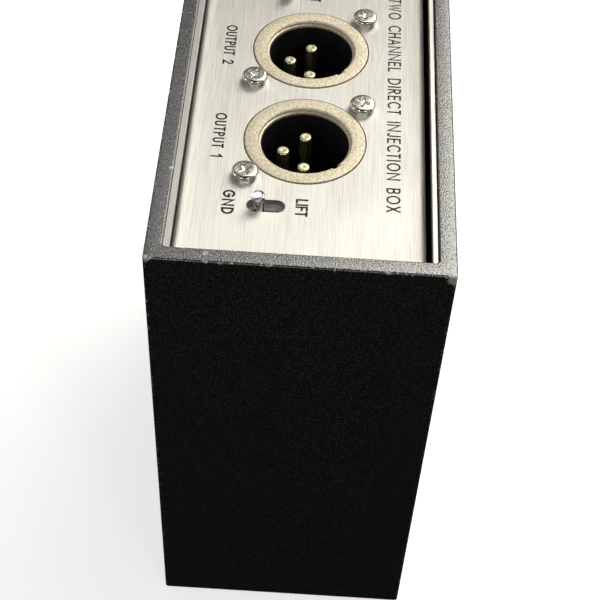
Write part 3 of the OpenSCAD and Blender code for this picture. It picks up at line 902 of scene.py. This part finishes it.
FLOOR_REACH, FLOOR_Z = 3.0, -0.0002
FLOOR_GLOW = 0.62
LIGHT_DISTANCE = 0.9
SPARK_PLACES = ((-95, 20), (88, 20), (150, 38), (-152, 38))  # azimuth and elevation
SKY_FRONT, SKY_BACK = 0.36, 0.15
SKY_HORIZON = 0.02
DARK_PATCH_TOWARDS = (0.0, -0.309, 0.951)
DARK_PATCH_LEVEL = 0.05


def make_floor():
    """Pale floor that glows a little and casts no light on the box."""
    reach, z = FLOOR_REACH, FLOOR_Z
    mesh = bpy.data.meshes.new("floor")
    mesh.from_pydata([(-reach, -reach, z), (reach, -reach, z), (reach, reach, z), (-reach, reach, z)],
                     [], [(0, 1, 2, 3)])
    floor = bpy.data.objects.new("floor", mesh)
    bpy.context.scene.collection.objects.link(floor)
    shader = Shader("floor", (0.85, 0.85, 0.85), roughness=0.9, Specular_IOR_Level=0.1)
    shader.set("Emission Color", (1.0, 1.0, 1.0, 1))
    shader.set("Emission Strength", FLOOR_GLOW)
    mesh.materials.append(shader.material)
    floor.visible_glossy = False
    floor.visible_diffuse = False


def softbox(name, azimuth, elevation, distance, size, power, color=(1, 1, 1)):
    """Rectangular area light aimed at the top of the box. Azimuth 0 is behind it, 90 is at its right."""
    data = bpy.data.lights.new(name, "AREA")
    data.shape = "RECTANGLE"
    data.size, data.size_y = size
    data.energy = power
    data.color = color
    light = bpy.data.objects.new(name, data)
    bpy.context.scene.collection.objects.link(light)
    a, e = math.radians(azimuth), math.radians(elevation)
    aim = Vector((case_mid.x, case_mid.y, case_high.z))
    direction = Vector((math.sin(a) * math.cos(e), math.cos(a) * math.cos(e), math.sin(e)))
    light.location = aim + direction * distance
    light.rotation_euler = direction.to_track_quat("Z", "Y").to_euler()


def place_lights():
    """Large warm key behind on the right, a spot for the lever's tip, a faint wall and four glints."""
    softbox("key", 41, 45, LIGHT_DISTANCE, (0.8, 0.8), 6.3, (1.0, 0.965, 0.875))
    softbox("tip_light", -18, 45, LIGHT_DISTANCE, (0.14, 0.18), 0.09, (1.0, 0.98, 1.0))
    softbox("backdrop_left", -60, 14, 1.1, (0.7, 0.5), 0.7, (1.0, 1.0, 0.98))
    for number, (azimuth, elevation) in enumerate(SPARK_PLACES):
        softbox(f"spark_{number}", azimuth, elevation, LIGHT_DISTANCE, (0.16, 0.16), 0.5)


def make_sky():
    """Bright above, darker in a patch in front overhead, dark along the horizon and below."""
    world = bpy.data.worlds.new("studio")
    bpy.context.scene.world = world
    world.use_nodes = True
    tree = world.node_tree

    def smooth(value, low, high, to_low, to_high):
        node = tree.nodes.new("ShaderNodeMapRange")
        node.interpolation_type = "SMOOTHSTEP"
        tree.links.new(value, node.inputs["Value"])
        node.inputs["From Min"].default_value = low
        node.inputs["From Max"].default_value = high
        node.inputs["To Min"].default_value = to_low
        node.inputs["To Max"].default_value = to_high
        return node.outputs["Result"]

    def product(a, b):
        node = tree.nodes.new("ShaderNodeMath")
        node.operation = "MULTIPLY"
        tree.links.new(a, node.inputs[0])
        tree.links.new(b, node.inputs[1])
        return node.outputs["Value"]

    direction = tree.nodes.new("ShaderNodeTexCoord").outputs["Generated"]
    split = tree.nodes.new("ShaderNodeSeparateXYZ")
    tree.links.new(direction, split.inputs["Vector"])
    to_patch = tree.nodes.new("ShaderNodeVectorMath")
    to_patch.operation = "DOT_PRODUCT"
    tree.links.new(direction, to_patch.inputs[0])
    to_patch.inputs[1].default_value = DARK_PATCH_TOWARDS
    height = smooth(split.outputs["Z"], -0.02, 0.62, SKY_HORIZON, 1.0)
    patch = smooth(to_patch.outputs["Value"], 0.74, 0.93, 1.0, DARK_PATCH_LEVEL)
    depth = smooth(split.outputs["Y"], -0.5, 0.6, SKY_FRONT, SKY_BACK)
    background = tree.nodes["Background"]
    background.inputs["Color"].default_value = (1.0, 0.99, 0.965, 1)
    tree.links.new(product(product(height, patch), depth), background.inputs["Strength"])


make_floor()
place_lights()
make_sky()
bpy.context.scene.view_settings.view_transform = "Standard"
